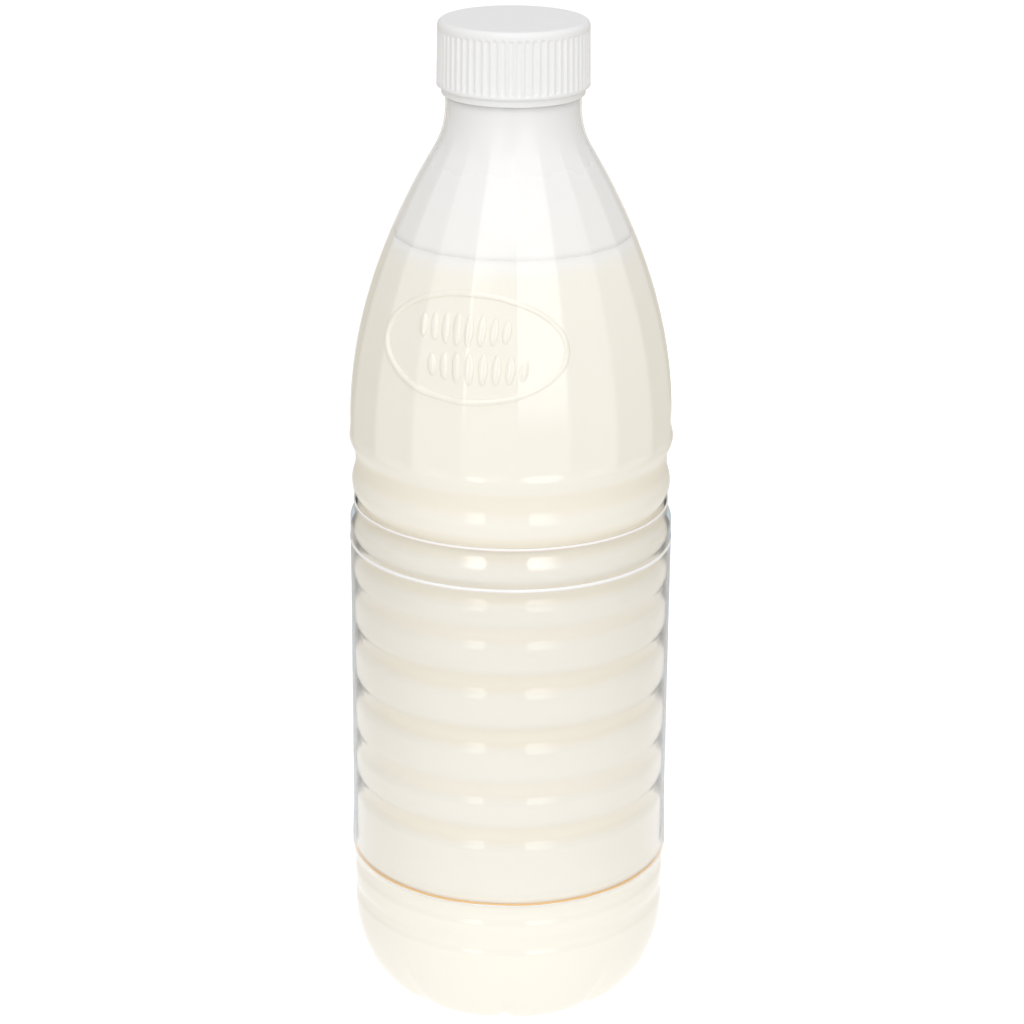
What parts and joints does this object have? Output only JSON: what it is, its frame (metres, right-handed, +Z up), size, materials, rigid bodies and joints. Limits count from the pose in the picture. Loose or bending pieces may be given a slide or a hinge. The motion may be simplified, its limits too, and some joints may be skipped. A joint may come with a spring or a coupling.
{
  "type": "plastic milk bottle",
  "caption": "Tall clear plastic bottle of milk with a panelled shoulder, ribbed body, scalloped foot, knurled white screw cap and clear sleeve label.",
  "frame": {"origin": "on the surface that the bottle stands on, under the middle of its box, which is its axis", "axes": "+Z up along the bottle's axis, -Y is the front"},
  "size_m": [0.0908, 0.0908, 0.2828],
  "materials": {
    "clear_plastic": "clear and glossy, moulded",
    "milk": "opaque cream-white liquid",
    "cap_plastic": "opaque white, satin, knurled",
    "clear_film": "thin clear shrink film, slightly wrinkled"
  },
  "bodies": {
    "root": {"bottle": "clear_plastic", "milk": "milk", "cap": "cap_plastic", "label_sleeve": "clear_film"}
  },
  "joints": []
}
